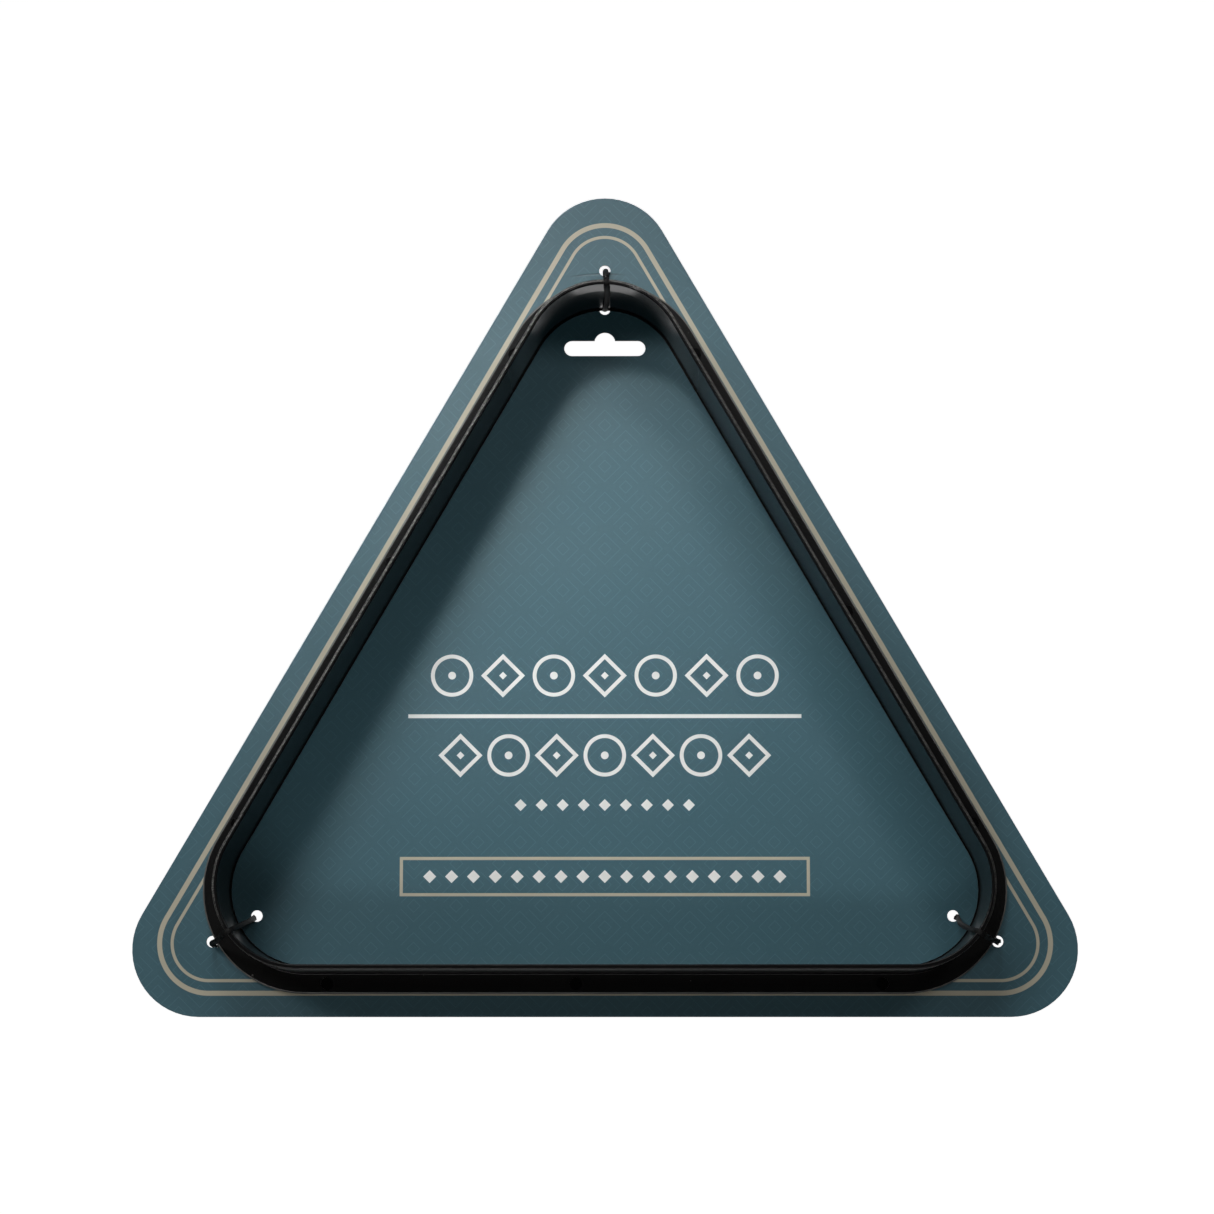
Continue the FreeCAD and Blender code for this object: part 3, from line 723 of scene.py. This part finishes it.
def behind_card(corner):
    """Down through the outer hole, along the card's back and up into the inner hole."""
    run, outer, inner = TIE_RUNS[corner], OUTER_HOLE[corner], INNER_HOLE[corner]
    end_out, end_side = millimetres(run["end"])
    points = [
        (max(end_out + 0.25 * MM, outer - 1.2 * MM), end_side * 0.8, -0.3 * MM),
        (outer - 1.0 * MM, end_side * 0.6, -CARD_THICKNESS - 0.25 * MM),
        (outer - 2.8 * MM, end_side * 0.5, BEHIND_CARD),
        ((outer + inner) / 2, 0.35 * MM, BEHIND_CARD)]
    for out, side, off in map(millimetres, run["into_hole"]):
        points.append((inner + out, side, off - CARD_THICKNESS))
    return points


def over_rim(side, rim_in, rim_out):
    """Over the rim from the inside, bent close round it."""
    return [
        (rim_in - 0.42 * MM, side, RIM_HEIGHT - 0.7 * MM),
        (rim_in + 0.25 * MM, side, OVER_RIM - 0.1 * MM),
        (rim_in + RIM_THICKNESS / 2, side, OVER_RIM),
        (rim_out - 0.1 * MM, side, OVER_RIM - 0.12 * MM),
        (rim_out + 0.6 * MM, side * 0.98, RIM_HEIGHT - 0.7 * MM)]


def bent_tail(run, last):
    """The strip's end beside the outer hole, bent off the card, from the winding's last row."""
    out, side = millimetres(run["tail"])
    return [(last[0] + out * 0.5, last[1] + side * 0.5, 0.9 * MM, last[3] + 0.4),
            (last[0] + out, last[1] + side, 1.3 * MM, last[3] + 0.8)]


def tie_route(corner):
    """The strip's whole route: its points, and its turn about its own length at each."""
    run = TIE_RUNS[corner]
    side = run["sideways"] * MM
    rim_in, rim_out = rim_crossing(corner, side)
    axis = winding_axis(run, rim_out)
    free = wound_strand(run, axis, math.pi / 2)
    free = turned_flat(free[int(len(free) * (1 - run["stop"])):], -1)
    fixed = turned_flat(wound_strand(run, axis, 3 * math.pi / 2), 0)
    slack = [millimetres(point) for point in run["slack"]]
    flat_run = behind_card(corner) + slack + over_rim(side, rim_in, rim_out)
    flat_run = [point + (FLAT_TURN,) for point in flat_run]
    rows = [*free[::3], *flat_run, *fixed[::3], *bent_tail(run, fixed[-1])]
    return smooth_line(rows, ROUTE_STEP)


def in_scene(corner, line):
    """Points measured from the middle towards a corner, brought into the scene."""
    angle = math.radians(CORNER_ANGLES[corner])
    out, side, off = line[:, 0], line[:, 1], line[:, 2]
    return np.column_stack([
        out * math.cos(angle) - side * math.sin(angle),
        CARD_FRONT - off,
        CARD_MIDDLE + out * math.sin(angle) + side * math.cos(angle)])


def strip_profile():
    """The strip's section: thin wings each side of a bead over the wire."""
    profile = []
    for step in range(STRIP_POINTS):
        angle = 2 * math.pi * step / STRIP_POINTS
        across = math.cos(angle) * STRIP_WIDTH / 2
        bead = (STRIP_CORE - STRIP_WING) * math.exp(-(across / BEAD_WIDTH) ** 2)
        thickness = (STRIP_WING * abs(math.sin(angle)) ** 0.5 + bead) / 2
        profile.append((across, math.copysign(thickness, math.sin(angle))))
    return np.array(profile)


def wire_profile():
    """The wire's round section."""
    angles = np.linspace(0, 2 * math.pi, WIRE_POINTS, endpoint=False)
    return np.array([(WIRE_RADIUS * math.cos(a), WIRE_RADIUS * math.sin(a)) for a in angles])


def swept_rings(route, profile):
    """A profile at each point of a route, turned as the route's last column says."""
    points, turn = route[:, :3], route[:, 3]
    sideways, outward = cross_axes(tangents(points))
    wide = sideways * np.cos(turn)[:, None] + outward * np.sin(turn)[:, None]
    thick = np.cross(tangents(points), wide)
    along = np.linspace(0, 1, len(points))
    swell = 1 + sum(share * np.sin(waves * along + phase) for share, waves, phase in RIPPLES)
    return (points[:, None] + wide[:, None] * (profile[None, :, :1] * swell[:, None, None])
            + thick[:, None] * profile[None, :, 1:])


def swept(name, corner, route, profile):
    """A closed mesh of a profile carried along a corner's route."""
    rings = swept_rings(route, profile)
    count, size = rings.shape[:2]
    faces = [[a * size + b, a * size + (b + 1) % size,
              (a + 1) * size + (b + 1) % size, (a + 1) * size + b]
             for a in range(count - 1) for b in range(size)]
    faces += [list(range(size))[::-1], [(count - 1) * size + b for b in range(size)]]
    mesh = bpy.data.meshes.new(name)
    mesh.from_pydata(in_scene(corner, rings.reshape(-1, 3)).tolist(), [], faces)
    mesh.update()
    mesh.polygons.foreach_set("use_smooth", [True] * (len(faces) - 2) + [False] * 2)
    made = bpy.data.objects.new(name, mesh)
    bpy.context.scene.collection.objects.link(made)
    return made


def build_tie(corner, plastic, steel):
    """One twist tie: its plastic strip, and its wire, which shows at the cut ends."""
    route = tie_route(corner)
    ahead = route[-1] + (route[-1] - route[-2]) * WIRE_STANDS_OUT
    back = route[0] + (route[0] - route[1]) * WIRE_STANDS_OUT
    strip = swept(f"{corner}_tie_strip", corner, route, strip_profile())
    wire = swept(f"{corner}_tie_core", corner, np.vstack([back, route, ahead]), wire_profile())
    for piece, material, slot, node in ((strip, plastic, "tie_plastic", f"{corner}_tie"),
                                        (wire, steel, "tie_wire", f"{corner}_tie_wire")):
        piece.data.materials.append(material)
        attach(piece, ROOT)
        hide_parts(node)


# ---------------------------------------------------------------- stage, light and camera

FLOOR_DROP = 0.30
FLOOR_HALF = 3.6
FLOOR_PALE = (0.85, 0.85, 0.84, 1)
FLOOR_SHADED = shade(FLOOR_PALE, 0.985)
FLOOR_GLOW = 0.75

BACKDROP_PLACE = (0, 2.4, CARD_MIDDLE + 0.3)
BACKDROP_WIDTH = 3.0
BACKDROP_HEIGHT = 4.2
AMBIENT_STRENGTH = 0.006

# Softboxes are placed and aimed from the middle of the card's front.
MIDDLE = Vector((0, CARD_FRONT, CARD_MIDDLE))
SOFT_SPREAD = math.radians(49.6)
POOL_SPREAD = math.radians(12)
LIGHTS = [
    {"name": "overhead", "place": (-0.189, -0.775, 0.799), "target": (-0.05, 0, -0.04),
     "size": (0.53, 0.38), "watts": 0.42, "spread": SOFT_SPREAD},
    {"name": "pool", "place": (-0.25, -0.98, 0.67), "target": (-0.018, 0, 0.080),
     "size": (0.18, 0.18), "watts": 0.047, "spread": POOL_SPREAD},
    {"name": "left", "place": (-0.784, -1.518, 0.600), "target": (0.05, 0, 0.078),
     "size": (0.65, 0.325), "watts": 0.61, "spread": SOFT_SPREAD},
    {"name": "right", "place": (0.771, -1.643, 0.768), "target": (0.12, 0, 0.16),
     "size": (0.326, 0.414), "watts": 0.38, "spread": SOFT_SPREAD},
    {"name": "low", "place": (-0.10, -0.45, -0.36), "target": (0, 0, 0),
     "size": (0.60, 0.08), "watts": 0.092, "spread": SOFT_SPREAD},
]

CAMERA_PLACE = (7.7 * MM, CARD_FRONT - 1294.1 * MM, CARD_MIDDLE - 130.75 * MM)
CAMERA_AIM = (-0.00524, 0.99116, 0.1326)
CAMERA_LENS = 99.7
SENSOR_WIDTH = 36.0
CLIP_NEAR, CLIP_FAR = 0.05, 50.0


def stage_sheet(name, corners, location, material):
    """A flat sheet of the stage, which isn't part of the object."""
    mesh = bpy.data.meshes.new(name)
    mesh.from_pydata(corners, [], [[0, 1, 2, 3]])
    mesh.materials.append(material)
    sheet = bpy.data.objects.new(name, mesh)
    sheet.location = location
    bpy.context.scene.collection.objects.link(sheet)
    return sheet


def floor_material():
    """Pale, even and dull, with a glow of its own, because the lamps hardly reach the floor."""
    paint = Painter("pale_floor")
    tint = paint.mix(paint.noise(3.0, 2.0), FLOOR_PALE, FLOOR_SHADED)
    return paint.finish(Base_Color=tint, Roughness=0.8, Emission_Color=tint,
                        Emission_Strength=FLOOR_GLOW)


def build_floor():
    """A wide, plain, pale floor under the hanging rack. It throws no light on the rack."""
    half = FLOOR_HALF
    corners = [(-half, -half, 0), (half, -half, 0), (half, half, 0), (-half, half, 0)]
    floor = stage_sheet("floor", corners, (0, 0, cad_low.z - FLOOR_DROP), floor_material())
    floor.visible_diffuse = floor.visible_glossy = False


def build_backdrop():
    """A plain white lit screen well behind the rack."""
    half, height = BACKDROP_WIDTH / 2, BACKDROP_HEIGHT / 2
    corners = [(-half, 0, -height), (half, 0, -height), (half, 0, height), (-half, 0, height)]
    white = Painter("lit_white").finish(Base_Color=(0.8, 0.8, 0.8, 1), Emission_Strength=1.0,
                                        Emission_Color=(1, 1, 1, 1))
    stage_sheet("backdrop", corners, BACKDROP_PLACE, white)


def aim(thing, target):
    """Turn a lamp or a camera to look at a point."""
    direction = Vector(target) - thing.location
    thing.rotation_euler = direction.to_track_quat("-Z", "Y").to_euler()


def build_light(name, place, target, size, watts, spread):
    """A softbox that the camera doesn't see."""
    data = bpy.data.lights.new(name, "AREA")
    data.shape = "RECTANGLE"
    data.size, data.size_y = size
    data.energy = watts
    data.spread = spread
    lamp = bpy.data.objects.new(name, data)
    lamp.visible_camera = False
    lamp.location = MIDDLE + Vector(place)
    bpy.context.scene.collection.objects.link(lamp)
    aim(lamp, MIDDLE + Vector(target))


def build_world():
    """White all round to the eye, and a dimmer even light on the object."""
    world = bpy.data.worlds.new("studio")
    world.use_nodes = True
    tree = world.node_tree
    tree.nodes.clear()
    seen = tree.nodes.new("ShaderNodeBackground")
    lit = tree.nodes.new("ShaderNodeBackground")
    seen.inputs["Color"].default_value = (1, 1, 1, 1)
    lit.inputs["Color"].default_value = (1, 1, 1, 1)
    lit.inputs["Strength"].default_value = AMBIENT_STRENGTH
    path = tree.nodes.new("ShaderNodeLightPath")
    mix = tree.nodes.new("ShaderNodeMixShader")
    output = tree.nodes.new("ShaderNodeOutputWorld")
    tree.links.new(path.outputs["Is Camera Ray"], mix.inputs[0])
    tree.links.new(lit.outputs[0], mix.inputs[1])
    tree.links.new(seen.outputs[0], mix.inputs[2])
    tree.links.new(mix.outputs[0], output.inputs["Surface"])
    bpy.context.scene.world = world


def build_camera():
    """A long lens a little right of the middle and low, looking slightly up."""
    data = bpy.data.cameras.new("camera")
    data.sensor_width = SENSOR_WIDTH
    data.lens = CAMERA_LENS
    data.clip_start, data.clip_end = CLIP_NEAR, CLIP_FAR
    camera = bpy.data.objects.new("camera", data)
    camera.location = CAMERA_PLACE
    bpy.context.scene.collection.objects.link(camera)
    aim(camera, camera.location + Vector(CAMERA_AIM))
    bpy.context.scene.camera = camera


# ---------------------------------------------------------------- the scene

def dress(node, material):
    """Put a material on a CAD piece that keeps its own shape."""
    piece = frame["nodes"][node]
    piece.data.materials.clear()
    piece.data.materials.append(material)


dress("rack_frame", rack_material())
dress("backing_card", card_material())
tie_plastic, tie_steel = tie_material(), wire_material()
for corner_name in CORNER_ANGLES:
    build_tie(corner_name, tie_plastic, tie_steel)

build_floor()
build_world()
build_backdrop()
for softbox in LIGHTS:
    build_light(**softbox)
build_camera()
bpy.context.scene.view_settings.view_transform = "Standard"
